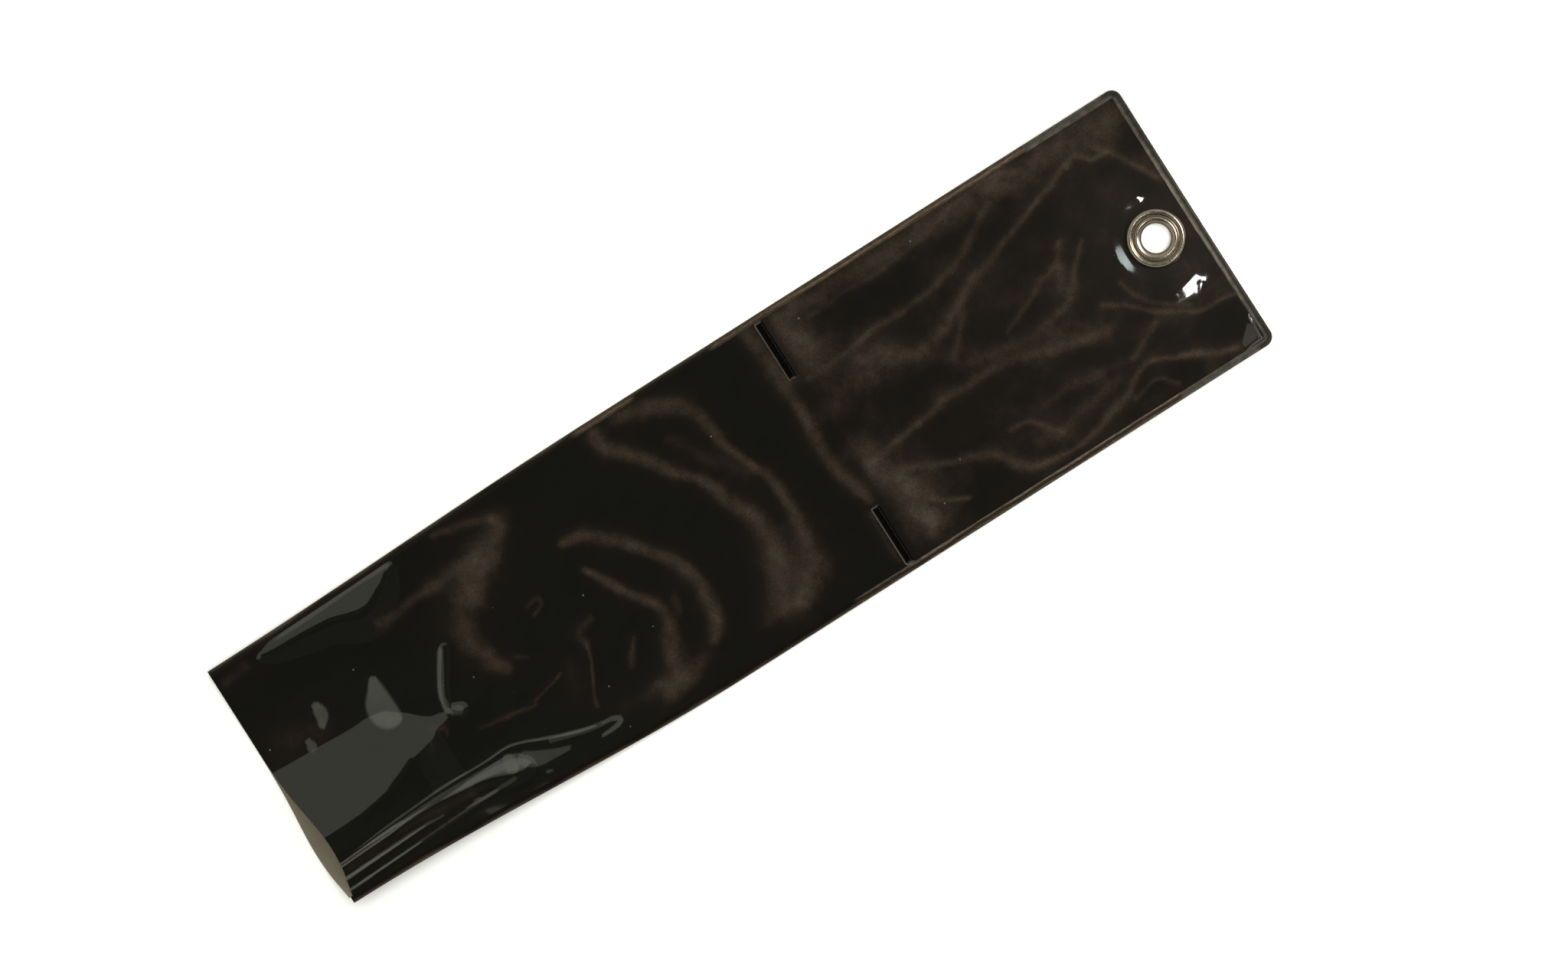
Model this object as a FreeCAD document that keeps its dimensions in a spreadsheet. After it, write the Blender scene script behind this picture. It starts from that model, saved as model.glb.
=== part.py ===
import FreeCAD, Part
import os
import re

import Sketcher

# Slip-on vinyl sleeve: two flat sheets welded along three sides, open at the mouth (-X),
# with two short stop welds across the pocket, a U-shaped weld round the closed end (+X)
# and a metal grommet to hang it by.  Millimetres, +Z up.  The origin is at the middle of
# the bounding box, on the surface that the sleeve lies on.
# The tail folds against the pocket along a crease beside the stop welds, so each sheet
# and side weld is two solids, one each side of the crease.

DIMENSIONS = (
    # alias, value, meaning
    ("sleeve_length", 365.0, "mouth to closed end"),
    ("sleeve_width", 101.6, "flat width over the side welds"),
    ("sheet_thick", 0.5, "vinyl sheet"),
    ("seam_width", 2.0, "side weld"),
    ("bow_length", 155.0, "distance from the mouth over which the edges are drawn in"),
    ("gape_length", 95.0, "distance from the mouth over which the front sheet stands up"),
    ("bow_rise", 11.5, "lift of the front sheet off the back sheet at the mouth"),
    ("bow_share", 0.62, "share of the width that gapes, from the right side weld"),
    ("bow_skew", 0.63, "below 1 moves the crest of the gape towards the right side weld"),
    ("curl_share", 0.25, "share of the width over which the back sheet curls up"),
    ("left_draw", 2.5, "how far the bowing draws the left edge in at the mouth"),
    ("right_draw", 6.5, "how far the bowing draws the right edge in at the mouth"),
    ("right_lift", 4.5, "lift of the right side weld at the mouth"),
    ("lip_scoop", 4.5, "how far the front lip stands back at its crest"),
    ("fold_place", 41.5, "crease, from the middle of the sleeve"),
    ("fold_gap", 3.0, "free vinyl left out on the crease"),
    ("stop_place", 37.8, "middle of the stop welds, from the middle of the sleeve"),
    ("stop_length", 22.9, "stop weld, across the sleeve"),
    ("stop_width", 3.6, "stop weld, along the sleeve"),
    ("stop_margin", 2.5, "stop weld to the edge of the sleeve"),
    ("stop_height", 1.2, "stop weld rim"),
    ("stop_groove", 0.5, "depth pressed into the stop weld"),
    ("stop_rim", 0.6, "width of the rim left round the groove"),
    ("leg_length", 37.4, "legs of the end weld, from the closed end"),
    ("end_width", 3.0, "end weld"),
    ("end_corner", 3.0, "outer corner radius of the end weld"),
    ("bead_width", 1.2, "raised outer bead of the end weld"),
    ("bead_height", 0.3, "bead above the pressed band"),
    ("grommet_inset", 15.8, "grommet axis to the closed end"),
    ("grommet_radius", 10.15, "grommet flange"),
    ("bore_radius", 4.9, "clear hole"),
    ("barrel_wall", 0.7, "eyelet barrel"),
    ("barrel_play", 0.05, "room round the barrel in the sheets"),
    ("flange_height", 1.6, "eyelet flange above the sheet"),
    ("lip_height", 1.9, "eyelet inner lip above the sheet"),
    ("washer_height", 1.0, "washer below the sheet"),
    ("curl_radius", 7.1, "rolled end of the barrel, inside the washer"),
    ("curl_height", 0.5, "rolled end of the barrel"),
    ("ramp_start", 90.0, "where the tail starts to rise to the washer's height"),
    ("ramp_end", 140.0, "where the tail reaches the washer's height"),
)

# Stations of the bowed pocket, as shares of bow_length.
STATIONS = (0.0, 0.15, 0.3, 0.45, 0.6, 0.8, 1.0)
# Corners of the bowed section, as shares of bow_share and of curl_share.
BOW_STEPS = 8
CURL_STEPS = 4

doc = FreeCAD.newDocument("vinyl_sleeve")


def make_sheet():
    """The driving dimensions, one named cell each."""
    sheet = doc.addObject("Spreadsheet::Sheet", "Dims")
    for row, (alias, number, meaning) in enumerate(DIMENSIONS, start=1):
        sheet.set(f"A{row}", meaning)
        sheet.set(f"B{row}", str(number))
        sheet.setAlias(f"B{row}", alias)
    doc.recompute()
    return sheet


dims = make_sheet()


ALIAS = re.compile(r"\b(" + "|".join(alias for alias, _, _ in DIMENSIONS) + r")\b")


def dim(text):
    """Puts the sheet's name before each alias in an expression."""
    return ALIAS.sub(r"Dims.\1", text)


def value(text):
    """What an expression of the sheet's aliases comes to, in millimetres."""
    return float(dims.evalExpression(text))


def new_body(label):
    body = doc.addObject("PartDesign::Body", label)
    body.Label = label
    return body


def place_sketch(body, name, role, offset="0"):
    """An empty sketch on one of the body's own planes, moved along its normal."""
    sketch = body.newObject("Sketcher::SketchObject", name)
    plane = next(f for f in body.Origin.OriginFeatures if f.Role == role)
    sketch.AttachmentSupport = [(plane, "")]
    sketch.MapMode = "FlatFace"
    sketch.setExpression("AttachmentOffset.Base.z", dim(offset))
    return sketch


def outline(sketch, corners):
    """A closed outline of straight sides; each corner is a pair of expressions."""
    spots = [FreeCAD.Vector(value(a), value(b), 0) for a, b in corners]
    for here, there in zip(spots, spots[1:] + spots[:1]):
        sketch.addGeometry(Part.LineSegment(here, there), False)
    for side in range(len(spots)):
        following = (side + 1) % len(spots)
        sketch.addConstraint(Sketcher.Constraint("Coincident", side, 2, following, 1))
    for side, pair in enumerate(corners):
        for kind, text, number in zip(("DistanceX", "DistanceY"), pair, spots[side]):
            index = sketch.addConstraint(
                Sketcher.Constraint(kind, -1, 1, side, 1, number))
            sketch.renameConstraint(index, f"{kind}_{side}")
            sketch.setExpression(f"Constraints.{kind}_{side}", dim(text))
    return sketch


def circle(sketch, centre, radius):
    """A circle on the sketch's first axis."""
    middle = FreeCAD.Vector(value(centre), 0, 0)
    ring = sketch.addGeometry(
        Part.Circle(middle, FreeCAD.Vector(0, 0, 1), value(radius)), False)
    sketch.addConstraint(Sketcher.Constraint("PointOnObject", ring, 3, -1))
    for kind, text in (("DistanceX", centre), ("Radius", radius)):
        args = (-1, 1, ring, 3) if kind == "DistanceX" else (ring,)
        index = sketch.addConstraint(Sketcher.Constraint(kind, *args, value(text)))
        sketch.renameConstraint(index, kind)
        sketch.setExpression(f"Constraints.{kind}", dim(text))
    return sketch


def pad(body, sketch, length, midplane=False):
    feature = body.newObject("PartDesign::Pad", "Pad")
    feature.Profile = sketch
    feature.setExpression("Length", dim(length))
    feature.Midplane = midplane
    return feature


def cut_up(body, sketch, depth):
    """Cuts from the sketch upwards, and checks that something came off."""
    doc.recompute()
    before = body.Shape.Volume
    feature = body.newObject("PartDesign::Pocket", "Pocket")
    feature.Profile = sketch
    feature.setExpression("Length", dim(depth))
    feature.Reversed = True
    doc.recompute()
    if body.Shape.Volume >= before - 1e-6:
        raise RuntimeError(f"{body.Label}: {sketch.Name} cut nothing")
    return feature


def fillet(body, radius, chosen):
    """Rounds the tip's edges for which chosen(edge) is true."""
    doc.recompute()
    base = body.Tip
    names = [f"Edge{i}" for i, edge in enumerate(base.Shape.Edges, start=1) if chosen(edge)]
    feature = body.newObject("PartDesign::Fillet", "Fillet")
    feature.Base = (base, names)
    feature.setExpression("Radius", dim(radius))
    return feature


def box_corners(x_low, x_high, y_low, y_high):
    return [(x_low, y_low), (x_high, y_low), (x_high, y_high), (x_low, y_high)]


# ---- pocket: lofted sections between the mouth and the crease -----------------------

POCKET_END = "(fold_place - fold_gap / 2)"
LEFT_EDGE = "(sleeve_width / 2 - left_draw * {swell})"
RIGHT_EDGE = "(-sleeve_width / 2 + right_draw * {swell})"
LEFT_SHEET = "(sleeve_width / 2 - seam_width - left_draw * {swell})"
RIGHT_SHEET = "(-sleeve_width / 2 + seam_width + right_draw * {swell})"


def swell_at(share):
    """How much of the drawing in is left at a share of bow_length: 1 at the mouth."""
    return f"((1 + cos(180 * {share})) / 2)"


def gape_at(share):
    """How much of the front sheet's rise is left at a share of bow_length."""
    return f"((1 + cos(min(180; 180 * {share} * bow_length / gape_length))) / 2)"


def curl(swell, step):
    """Underside of the back sheet at a step of its curled part."""
    left = (1 - step / CURL_STEPS) ** 2
    return f"(right_lift * {swell} * {left})"


def across(swell, share):
    """Distance across the sleeve at a share of the width from the right weld."""
    low, high = RIGHT_SHEET.format(swell=swell), LEFT_SHEET.format(swell=swell)
    return f"({low} + ({high} - {low}) * {share})"


def back_section(swell, gape):
    """Back sheet: curled up beside the right weld, flat from there on."""
    under = [(across(swell, f"(curl_share * {step / CURL_STEPS})"), curl(swell, step))
             for step in range(CURL_STEPS + 1)]
    under.append((across(swell, "1"), "0"))
    return under + [(y, f"({z} + sheet_thick)") for y, z in reversed(under)]


def front_section(swell, gape):
    """Front sheet: a wave over the right part of the mouth, flat on the left part."""
    under = []
    for step in range(BOW_STEPS + 1):
        share = f"(bow_share * {step / BOW_STEPS})"
        phase = f"(180 * ({step / BOW_STEPS} ^ bow_skew))"
        rise = f"(bow_rise * {gape} * sin({phase}) ^ 2)"
        left = f"max(0; 1 - {share} / curl_share)"
        under.append((across(swell, share),
                      f"(sheet_thick + right_lift * {swell} * {left} ^ 2 + {rise})"))
    under.append((across(swell, "1"), "sheet_thick"))
    return under + [(y, f"({z} + sheet_thick)") for y, z in reversed(under)]


def seam_section(outer, inner, lift):
    """Side weld: a bar of both sheets' thickness."""
    def section(swell, gape):
        low = f"({lift} * {swell})"
        high = f"({low} + 2 * sheet_thick)"
        a, b = outer.format(swell=swell), inner.format(swell=swell)
        return box_corners(a, b, low, high)
    return section


def pocket_loft(label, section):
    """A body lofted straight from station to station, mouth to crease."""
    body = new_body(label)
    sketches = []
    for share in STATIONS:
        place = f"bow_length * {share} - sleeve_length / 2"
        sketch = place_sketch(body, "Section", "YZ_Plane", place)
        sketches.append(outline(sketch, section(swell_at(share), gape_at(share))))
    last = place_sketch(body, "Section", "YZ_Plane", POCKET_END)
    sketches.append(outline(last, section("0", "0")))
    loft = body.newObject("PartDesign::AdditiveLoft", "Loft")
    loft.Profile = sketches[0]
    loft.Sections = sketches[1:]
    loft.Ruled = True
    return body


def stop_corners(side):
    """Outline of a stop weld; side is 1 for the left one and -1 for the right one."""
    outer = f"({side} * (sleeve_width / 2 - stop_margin))"
    inner = f"({side} * (sleeve_width / 2 - stop_margin - stop_length))"
    low, high = (inner, outer) if side > 0 else (outer, inner)
    return box_corners("(stop_place - stop_width / 2)", "(stop_place + stop_width / 2)",
                       low, high)


def cut_stop_slots(body):
    for side in (1, -1):
        sketch = outline(place_sketch(body, "Slot", "XY_Plane"), stop_corners(side))
        cut_up(body, sketch, "3 * stop_height")


def make_pocket_front_sheet():
    body = pocket_loft("pocket_front_sheet", front_section)
    cut_stop_slots(body)
    mouth = "(-sleeve_length / 2)"
    far = "(-sleeve_length / 2 - lip_scoop)"
    right = RIGHT_SHEET.format(swell=1)
    middle = across("1", "(bow_share / 2)")
    left = across("1", "bow_share")
    scoop = [(mouth, right), (f"({mouth} + lip_scoop)", middle), (mouth, left),
             (far, left), (far, right)]
    cut_up(body, outline(place_sketch(body, "Scoop", "XY_Plane"), scoop), "3 * bow_rise")


def make_pocket_back_sheet():
    body = pocket_loft("pocket_back_sheet", back_section)
    cut_stop_slots(body)


def make_pocket_side_seams():
    pocket_loft("pocket_left_seam", seam_section(LEFT_EDGE, LEFT_SHEET, "0"))
    pocket_loft("pocket_right_seam", seam_section(RIGHT_EDGE, RIGHT_SHEET, "right_lift"))


def make_stop_weld(label, side):
    """Short bar of fused vinyl with a groove pressed into it."""
    body = new_body(label)
    sketch = outline(place_sketch(body, "Outline", "XY_Plane"), stop_corners(side))
    pad(body, sketch, "stop_height")
    fillet(body, "stop_rim", lambda edge: abs(edge.tangentAt(edge.FirstParameter).z) > 0.9)
    outer = f"({side} * (sleeve_width / 2 - stop_margin - stop_rim))"
    inner = f"({side} * (sleeve_width / 2 - stop_margin - stop_length + stop_rim))"
    low, high = (inner, outer) if side > 0 else (outer, inner)
    groove = box_corners("(stop_place - stop_width / 2 + stop_rim)",
                         "(stop_place + stop_width / 2 - stop_rim)", low, high)
    floor = place_sketch(body, "Groove", "XY_Plane", "stop_height - stop_groove")
    cut_up(body, outline(floor, groove), "stop_height")


# ---- tail: side-on strips that rise to the washer's height --------------------------

TAIL_START = "(fold_place + fold_gap / 2)"
LEG_START = "(sleeve_length / 2 - leg_length)"
GROMMET_X = "(sleeve_length / 2 - grommet_inset)"


def tail_strip(label, low, high, finish):
    """Side view of a strip between two heights, from the crease to finish."""
    body = new_body(label)
    path = [(TAIL_START, "0"), ("ramp_start", "0"), ("ramp_end", "washer_height"),
            (finish, "washer_height")]
    under = [(x, f"({z} + {low})") for x, z in path]
    over = [(x, f"({z} + {high})") for x, z in reversed(path)]
    return body, under + over


def make_tail_sheet(label, low, high):
    """Sheet of the tail, notched for the end weld's legs and holed for the barrel."""
    body, side_view = tail_strip(label, low, high, "(sleeve_length / 2 - end_width)")
    sketch = outline(place_sketch(body, "Side", "XZ_Plane"), side_view)
    pad(body, sketch, "sleeve_width - 2 * seam_width", midplane=True)
    far = "(sleeve_length / 2)"
    for side in (1, -1):
        near, away = f"({side} * (sleeve_width / 2 - end_width))", f"({side} * sleeve_width)"
        low_y, high_y = (near, away) if side > 0 else (away, near)
        notch = outline(place_sketch(body, "Notch", "XY_Plane"),
                        box_corners(LEG_START, far, low_y, high_y))
        cut_up(body, notch, "4 * washer_height")
    hole = circle(place_sketch(body, "Hole", "XY_Plane"), GROMMET_X,
                  "bore_radius + barrel_wall + barrel_play")
    cut_up(body, hole, "4 * washer_height")


def make_tail_seam(label, side):
    """Side weld of the tail, a bar of both sheets' thickness."""
    body, side_view = tail_strip(label, "0", "2 * sheet_thick", LEG_START)
    # The XZ plane's normal points to -Y, so the offset has the opposite sign.
    middle = f"(-{side} * (sleeve_width / 2 - seam_width / 2))"
    sketch = outline(place_sketch(body, "Side", "XZ_Plane", middle), side_view)
    pad(body, sketch, "seam_width", midplane=True)


def u_corners(width):
    """U round the closed end, with its legs running back along both sides."""
    far = "(sleeve_length / 2)"
    inner = f"(sleeve_length / 2 - {width})"
    half = "(sleeve_width / 2)"
    slim = f"(sleeve_width / 2 - {width})"
    return [(LEG_START, f"(-{half})"), (far, f"(-{half})"), (far, half), (LEG_START, half),
            (LEG_START, slim), (inner, slim), (inner, f"(-{slim})"),
            (LEG_START, f"(-{slim})")]


def make_end_seam():
    """Pressed band with a raised outer bead, round the closed end."""
    body = new_body("end_seam")
    band = outline(place_sketch(body, "Band", "XY_Plane", "washer_height"),
                   u_corners("end_width"))
    pad(body, band, "2 * sheet_thick")
    bead = outline(place_sketch(body, "Bead", "XY_Plane", "washer_height"),
                   u_corners("bead_width"))
    pad(body, bead, "2 * sheet_thick + bead_height")
    far, half = value("sleeve_length / 2"), value("sleeve_width / 2")

    def outer_corner(edge):
        spot = edge.CenterOfMass
        upright = abs(edge.tangentAt(edge.FirstParameter).z) > 0.9
        return upright and abs(spot.x - far) < 0.01 and abs(abs(spot.y) - half) < 0.01
    fillet(body, "end_corner", outer_corner)


# ---- grommet: eyelet from the front, washer from the back ---------------------------

SHEET_TOP = "(washer_height + 2 * sheet_thick)"


def turned(label, profile):
    """A body turned round the grommet's axis; profile is (radius, height) pairs."""
    body = new_body(label)
    sketch = place_sketch(body, "Profile", "XZ_Plane")
    outline(sketch, profile)
    turn = body.newObject("PartDesign::Revolution", "Revolution")
    turn.Profile = sketch
    turn.ReferenceAxis = (sketch, ["V_Axis"])
    turn.Angle = 360
    body.setExpression("Placement.Base.x", dim(GROMMET_X))
    return body


def round_rings(body, radius, heights):
    """Rounds the circular edges that lie at the given heights."""
    levels = [value(text) for text in heights]

    def chosen(edge):
        flat = edge.BoundBox.ZLength < 1e-6
        return flat and any(abs(edge.BoundBox.ZMin - level) < 1e-3 for level in levels)
    fillet(body, radius, chosen)


def make_grommet_eyelet():
    """Barrel with a domed flange, an inner lip and its end rolled out."""
    barrel = "(bore_radius + barrel_wall)"
    lip = f"({SHEET_TOP} + lip_height)"
    crest = f"({SHEET_TOP} + flange_height)"
    valley = f"({SHEET_TOP} + flange_height * 0.65)"
    profile = [("bore_radius", "0.05"), ("curl_radius", "0.05"),
               ("curl_radius", "curl_height"), (barrel, "curl_height"),
               (barrel, SHEET_TOP), ("grommet_radius", SHEET_TOP),
               ("(grommet_radius * 0.95)", f"({SHEET_TOP} + flange_height * 0.7)"),
               ("(grommet_radius * 0.88)", crest), ("(grommet_radius * 0.78)", valley),
               ("(grommet_radius * 0.68)", lip), ("(grommet_radius * 0.58)", lip),
               ("bore_radius", f"({SHEET_TOP} + lip_height * 0.5)")]
    body = turned("grommet_eyelet", profile)
    round_rings(body, "0.3", [lip, crest, valley])


def make_grommet_washer():
    """Dished ring that the barrel's end is rolled over."""
    profile = [("curl_radius", "0"), ("grommet_radius * 0.93", "0"),
               ("grommet_radius", "washer_height * 0.6"), ("grommet_radius", "washer_height"),
               ("(bore_radius + barrel_wall)", "washer_height"),
               ("(bore_radius + barrel_wall)", "curl_height"),
               ("curl_radius", "curl_height")]
    turned("grommet_washer", profile)


def check_and_write():
    """Stops on any failed object or bad solid, then writes one file per sub-part."""
    doc.recompute()
    for item in doc.Objects:
        if "Invalid" in item.State or "Error" in item.State:
            raise RuntimeError(f"{item.Label} failed: {item.State}")
    os.makedirs("parts", exist_ok=True)
    for body in doc.findObjects("PartDesign::Body"):
        shape = body.Shape
        if shape.isNull() or not shape.isValid() or len(shape.Solids) != 1:
            raise RuntimeError(f"{body.Label} is not one valid solid")
        box = shape.optimalBoundingBox()
        print(f"{body.Label:22s} {shape.Volume:9.1f} mm3  x {box.XMin:.2f} {box.XMax:.2f}"
              f"  y {box.YMin:.2f} {box.YMax:.2f}  z {box.ZMin:.2f} {box.ZMax:.2f}")
        shape.exportStep(f"parts/{body.Label}.step")


make_pocket_front_sheet()
make_pocket_back_sheet()
make_pocket_side_seams()
for name, hand in (("stop_weld_left", 1), ("stop_weld_right", -1)):
    make_stop_weld(name, hand)
make_tail_sheet("tail_front_sheet", "sheet_thick", "2 * sheet_thick")
make_tail_sheet("tail_back_sheet", "0", "sheet_thick")
for name, hand in (("tail_left_seam", 1), ("tail_right_seam", -1)):
    make_tail_seam(name, hand)
make_end_seam()
make_grommet_eyelet()
make_grommet_washer()
check_and_write()
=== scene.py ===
import math

import bmesh
import bpy
import numpy as np
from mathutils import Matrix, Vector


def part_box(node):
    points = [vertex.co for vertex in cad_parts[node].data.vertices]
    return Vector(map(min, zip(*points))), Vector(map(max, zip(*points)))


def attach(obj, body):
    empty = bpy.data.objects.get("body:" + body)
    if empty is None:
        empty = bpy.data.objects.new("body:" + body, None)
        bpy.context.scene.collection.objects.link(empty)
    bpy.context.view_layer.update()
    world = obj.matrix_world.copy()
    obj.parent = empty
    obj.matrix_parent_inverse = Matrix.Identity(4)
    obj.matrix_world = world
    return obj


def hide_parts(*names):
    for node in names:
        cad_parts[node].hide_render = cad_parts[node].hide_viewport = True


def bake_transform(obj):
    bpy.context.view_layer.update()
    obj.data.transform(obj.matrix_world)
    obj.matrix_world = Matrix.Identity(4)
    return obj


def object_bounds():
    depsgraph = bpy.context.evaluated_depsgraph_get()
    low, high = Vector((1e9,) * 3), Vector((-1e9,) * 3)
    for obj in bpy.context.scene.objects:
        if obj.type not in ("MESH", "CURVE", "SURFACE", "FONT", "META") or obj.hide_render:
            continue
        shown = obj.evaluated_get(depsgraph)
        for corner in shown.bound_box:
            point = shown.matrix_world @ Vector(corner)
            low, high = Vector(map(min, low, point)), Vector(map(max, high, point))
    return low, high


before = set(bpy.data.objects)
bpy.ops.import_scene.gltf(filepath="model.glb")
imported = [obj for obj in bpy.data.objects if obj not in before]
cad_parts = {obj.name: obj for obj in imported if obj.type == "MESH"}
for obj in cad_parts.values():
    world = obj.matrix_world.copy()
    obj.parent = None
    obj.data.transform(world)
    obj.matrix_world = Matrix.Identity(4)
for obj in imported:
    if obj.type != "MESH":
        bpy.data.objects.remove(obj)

# Smoked vinyl sleeve with a grommet.  All shapes below are worked out in millimetres in
# the CAD frame: +X to the closed end, +Y to the left side, +Z up.  The front and back
# sheets are grids whose heights come from the gape of the mouth and lists of strokes:
# creases, and patches where the two sheets lie apart and look brown instead of black.

MM = 0.001
CAD_LOW, CAD_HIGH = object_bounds()


def node_box(name):
    """Lowest and highest corner of a CAD node, in millimetres."""
    low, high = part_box(name)
    return np.array(low) / MM, np.array(high) / MM


# ---- sizes taken from the CAD nodes -------------------------------------------------

MOUTH_X = node_box("pocket_back_sheet")[0][0]
CLOSED_X = node_box("end_seam")[1][0]
HALF_WIDTH = node_box("end_seam")[1][1]
LEG_X = node_box("end_seam")[0][0]
WASHER_HEIGHT = node_box("end_seam")[0][2]
CAD_SEAM_WIDTH = HALF_WIDTH - node_box("tail_left_seam")[0][1]
SEAM_LAP = 0.4           # how far the bead laps onto the sheets, on top of its CAD width
SEAM_WIDTH = CAD_SEAM_WIDTH + SEAM_LAP
END_WIDTH = CLOSED_X - node_box("tail_front_sheet")[1][0]
FOLD_FROM = node_box("pocket_front_sheet")[1][0]
FOLD_TO = node_box("tail_front_sheet")[0][0]
LEFT_DRAW = HALF_WIDTH - CAD_SEAM_WIDTH - node_box("pocket_left_seam")[0][1]
RIGHT_DRAW = node_box("pocket_right_seam")[1][1] + HALF_WIDTH - CAD_SEAM_WIDTH
STACK = node_box("pocket_left_seam")[1][2]
SHEET_THICK = STACK / 2
RIGHT_LIFT = node_box("pocket_right_seam")[1][2] - STACK
GROMMET = (node_box("grommet_washer")[0] + node_box("grommet_washer")[1]) / 2
GROMMET_RADIUS = (node_box("grommet_washer")[1] - node_box("grommet_washer")[0])[0] / 2

# ---- sizes of the looks, in millimetres ---------------------------------------------

DRAW_LENGTH = 155.0      # from the mouth, where the edges are drawn in
CURL_SHARE = 0.25        # of the width, where the back sheet curls up
LEFT_LIFT = 1.2          # lift of the left edge at the mouth
LIP_SCOOP = 3.4          # how far the front lip stands back
LIP_REACH = 30.0         # how far along the sleeve the scoop is felt
BACK_BULGE = 2.1         # how far the back lip stands out
LIP_MIDDLE = 0.20        # of the width, where both are largest
RAMP = (90.0, 140.0)     # where the tail rises to the washer's height
HOLE_RADIUS = 6.6        # in the sheets, hidden under the flange
FINE_STEP = 0.7          # grid of the front sheet
CREASE_STEP = 0.35       # grid of the front sheet across its sharp folds
CREASE_BAND = (-46.0, -26.0)
COARSE_STEP = 1.4        # grid of the back sheet


def smooth(x, low, high):
    """0 below low, 1 above high, and smooth between."""
    share = np.clip((x - low) / (high - low), 0, 1)
    return share * share * (3 - 2 * share)


def soft_ramp(share, corner=0.03):
    """A straight ramp from 0 to 1 with rounded corners."""
    return (np.hypot(share, corner) - np.hypot(share - 1, corner) + 1) / 2


def fade(x, length):
    """1 at the mouth, falling as a half cosine to 0 at this length from it."""
    return (1 + np.cos(np.pi * np.clip((x - MOUTH_X) / length, 0, 1))) / 2


def noise(x, y, cell, seed):
    """Smooth random field from -1 to 1 that changes over this many millimetres."""
    table = np.random.default_rng(seed).uniform(-1, 1, (256, 256))
    u, v = x / cell + 512.3, y / cell + 512.7
    i, j = np.floor(u).astype(int), np.floor(v).astype(int)
    s, t = smooth(u - i, 0, 1), smooth(v - j, 0, 1)
    near, far = table[i % 256, j % 256], table[(i + 1) % 256, j % 256]
    near_up, far_up = table[i % 256, (j + 1) % 256], table[(i + 1) % 256, (j + 1) % 256]
    return (near * (1 - s) + far * s) * (1 - t) + (near_up * (1 - s) + far_up * s) * t


def left_edge(x):
    return HALF_WIDTH - LEFT_DRAW * fade(x, DRAW_LENGTH)


def right_edge(x):
    return -HALF_WIDTH + RIGHT_DRAW * fade(x, DRAW_LENGTH)


def width_share(x, y):
    """0 at the right seam's inner side, 1 at the left seam's."""
    low, high = right_edge(x) + SEAM_WIDTH, left_edge(x) - SEAM_WIDTH
    return np.clip((y - low) / (high - low), 0, 1)


def base_height(x, y):
    """Underside of the sleeve: flat, curled up at the mouth, raised by the washer."""
    share = width_share(x, y)
    swell = fade(x, DRAW_LENGTH)
    right = RIGHT_LIFT * swell * np.clip(1 - share / CURL_SHARE, 0, 1) ** 2
    left = LEFT_LIFT * swell * np.clip(1 - (1 - share) / CURL_SHARE, 0, 1) ** 2
    return right + left + WASHER_HEIGHT * smooth(x, *RAMP)


# ---- strokes ------------------------------------------------------------------------

def spline(a, b, c, d, steps):
    """Points at these steps from b towards c, on a smooth curve through all four."""
    return b + 0.5 * steps * (c - a + steps * (2 * a - 5 * b + 4 * c - d
                                               + steps * (3 * (b - c) + d - a)))


class Stroke:
    """A soft line of (x, y, half width) points that tints the vinyl and lifts it.

    Haze is how brown or white the stroke makes the vinyl: it is 0 and black where the two
    sheets wet each other.  Slope is the steepest side of the ridge that it lifts.
    """

    SAMPLES = 7

    def __init__(self, haze, slope, *points):
        self.haze, self.slope = haze, slope
        self.line = self.curve(np.array(points, float))

    def curve(self, points):
        """Points along a smooth curve through the given ones."""
        if len(points) == 1:
            return np.vstack([points, points + (0.01, 0, 0)])
        ends = np.vstack([2 * points[0] - points[1], points, 2 * points[-1] - points[-2]])
        steps = np.linspace(0, 1, self.SAMPLES, endpoint=False)[:, None]
        parts = [spline(*four, steps) for four in zip(ends, ends[1:], ends[2:], ends[3:])]
        return np.vstack(parts + [points[-1:]])

    def reach(self, x, y, widths=3.2):
        """Which points the stroke can touch."""
        far = widths * self.line[:, 2].max()
        (low_x, low_y), (high_x, high_y) = self.line[:, :2].min(0), self.line[:, :2].max(0)
        return ((x > low_x - far) & (x < high_x + far) & (y > low_y - far)
                & (y < high_y + far))

    def measure(self, x, y):
        """Distance to the line in half widths, and the half width there."""
        best, half_there = np.full(x.shape, 9.0), np.ones(x.shape)
        for (ax, ay, a_half), (bx, by, b_half) in zip(self.line, self.line[1:]):
            along_x, along_y = bx - ax, by - ay
            share = np.clip(((x - ax) * along_x + (y - ay) * along_y)
                            / (along_x ** 2 + along_y ** 2), 0, 1)
            half = a_half + share * (b_half - a_half)
            distance = np.hypot(x - ax - share * along_x, y - ay - share * along_y) / half
            closer = distance < best
            best[closer], half_there[closer] = distance[closer], half[closer]
        return best, half_there

    def add_height(self, x, y, height):
        near = self.reach(x, y)
        distance, half = self.measure(x[near], y[near])
        height[near] += self.slope / 0.9 * half * np.exp(-1.1 * distance ** 2)

    def add_haze(self, x, y, haze):
        """A core with a wide, weak skirt."""
        near = self.reach(x, y, 5.0)
        distance, half = self.measure(x[near], y[near])
        haze[near] += self.haze * (0.78 * np.exp(-1.25 * distance ** 2)
                                   + 0.22 * np.exp(-0.22 * distance ** 2))


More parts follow.
